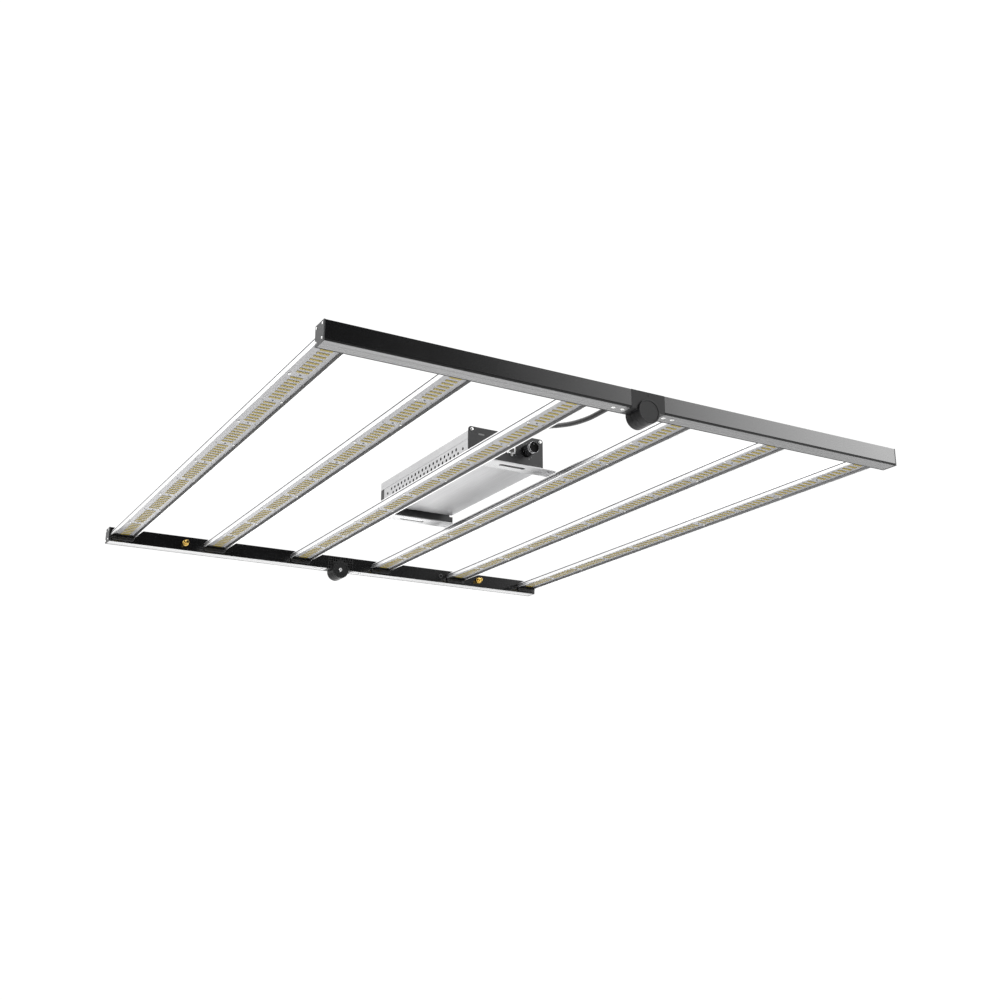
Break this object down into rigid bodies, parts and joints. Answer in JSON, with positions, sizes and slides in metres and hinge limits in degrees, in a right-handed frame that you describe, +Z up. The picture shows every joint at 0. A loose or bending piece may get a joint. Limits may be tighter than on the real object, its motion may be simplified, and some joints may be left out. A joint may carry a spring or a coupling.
{
  "type": "led grow light",
  "caption": "Folding LED grow light: finned light bars between hinged square rails, with a flat dimmable driver on brackets above the middle.",
  "frame": {"origin": "middle of the plane through the tops of the two rails, on the fold line between the left and right half", "axes": "+Z up, away from the lit side; +Y along the light bars from the near rail (knob side) to the far rail; +X along the rails, to the right seen from the near rail"},
  "size_m": [1.042, 1.211, 0.1179],
  "materials": {
    "black_anodised": "satin black anodised extrusion",
    "brushed_aluminium": "brushed sheet aluminium",
    "bar_aluminium": "clear anodised extrusion",
    "board_white": "white solder mask on an aluminium board",
    "black_plastic": "satin moulded nylon",
    "dark_paint": "fine-textured dark grey powder coat",
    "steel": "plain steel",
    "brass": "polished brass",
    "rubber": "matt black rubber",
    "circuit_green": "green glass-epoxy laminate",
    "capacitor_sleeve": "shrink sleeve on an aluminium can",
    "transformer_tape": "yellow winding tape round a ferrite core",
    "ferrite": "wound ferrite ring",
    "knob_black": "bright plated sides with a black face",
    "port_grey": "pale metal-shelled socket",
    "lens_clear": "pale lens of the status light"
  },
  "bodies": {
    "left_half": {"near_left_rail": "black_anodised", "near_left_rail_cover": "brushed_aluminium", "near_left_end_cap": "dark_paint", "near_left_hanging_stud": "brass", "near_left_hinge_leaf": "black_plastic", "near_hinge_pin": "steel", "far_left_rail": "black_anodised", "far_left_rail_cover": "brushed_aluminium", "far_left_end_cap": "dark_paint", "far_left_hanging_stud": "brass", "far_left_hinge_leaf": "black_plastic", "far_hinge_pin": "steel", "heat_sink_bar_1": "bar_aluminium", "led_board_1": "board_white", "heat_sink_bar_2": "bar_aluminium", "led_board_2": "board_white", "heat_sink_bar_3": "bar_aluminium", "led_board_3": "board_white", "rail_cable_gland": "black_plastic", "output_cable": "rubber", "driver_tray": "brushed_aluminium", "driver_cover": "brushed_aluminium", "driver_near_end_plate": "dark_paint", "driver_far_end_plate": "dark_paint", "near_driver_bracket": "brushed_aluminium", "far_driver_bracket": "brushed_aluminium", "driver_circuit_board": "circuit_green", "main_transformer": "transformer_tape", "filter_choke": "ferrite", "bulk_capacitor_1": "capacitor_sleeve", "bulk_capacitor_2": "capacitor_sleeve", "transistor_heat_spreader": "brushed_aluminium", "dimmer_potentiometer": "steel", "dimming_port": "port_grey", "mains_inlet": "black_plastic", "driver_output_gland": "black_plastic", "status_lens": "lens_clear"},
    "right_half": {"near_right_rail": "black_anodised", "near_right_rail_cover": "brushed_aluminium", "near_right_end_cap": "dark_paint", "near_right_hanging_stud": "brass", "near_right_hinge_leaf": "black_plastic", "far_right_rail": "black_anodised", "far_right_rail_cover": "brushed_aluminium", "far_right_end_cap": "dark_paint", "far_right_hanging_stud": "brass", "far_right_hinge_leaf": "black_plastic", "heat_sink_bar_4": "bar_aluminium", "heat_sink_bar_5": "bar_aluminium", "heat_sink_bar_6": "bar_aluminium", "led_board_4": "board_white", "led_board_5": "board_white", "led_board_6": "board_white", "far_right_grommet": "rubber"},
    "dimmer_knob": {"dimmer_knob": "knob_black"}
  },
  "joints": [
    {"name": "fold", "type": "hinge", "parent": "left_half", "child": "right_half", "pos_m": [0, 0, -0.031], "axis": [0, 1, 0], "range_deg": [0, 180]},
    {"name": "dimmer_turn", "type": "hinge", "parent": "left_half", "child": "dimmer_knob", "pos_m": [0.0437, -0.1796, 0.0399], "axis": [0, 1, 0], "range_deg": [-135, 135]}
  ]
}
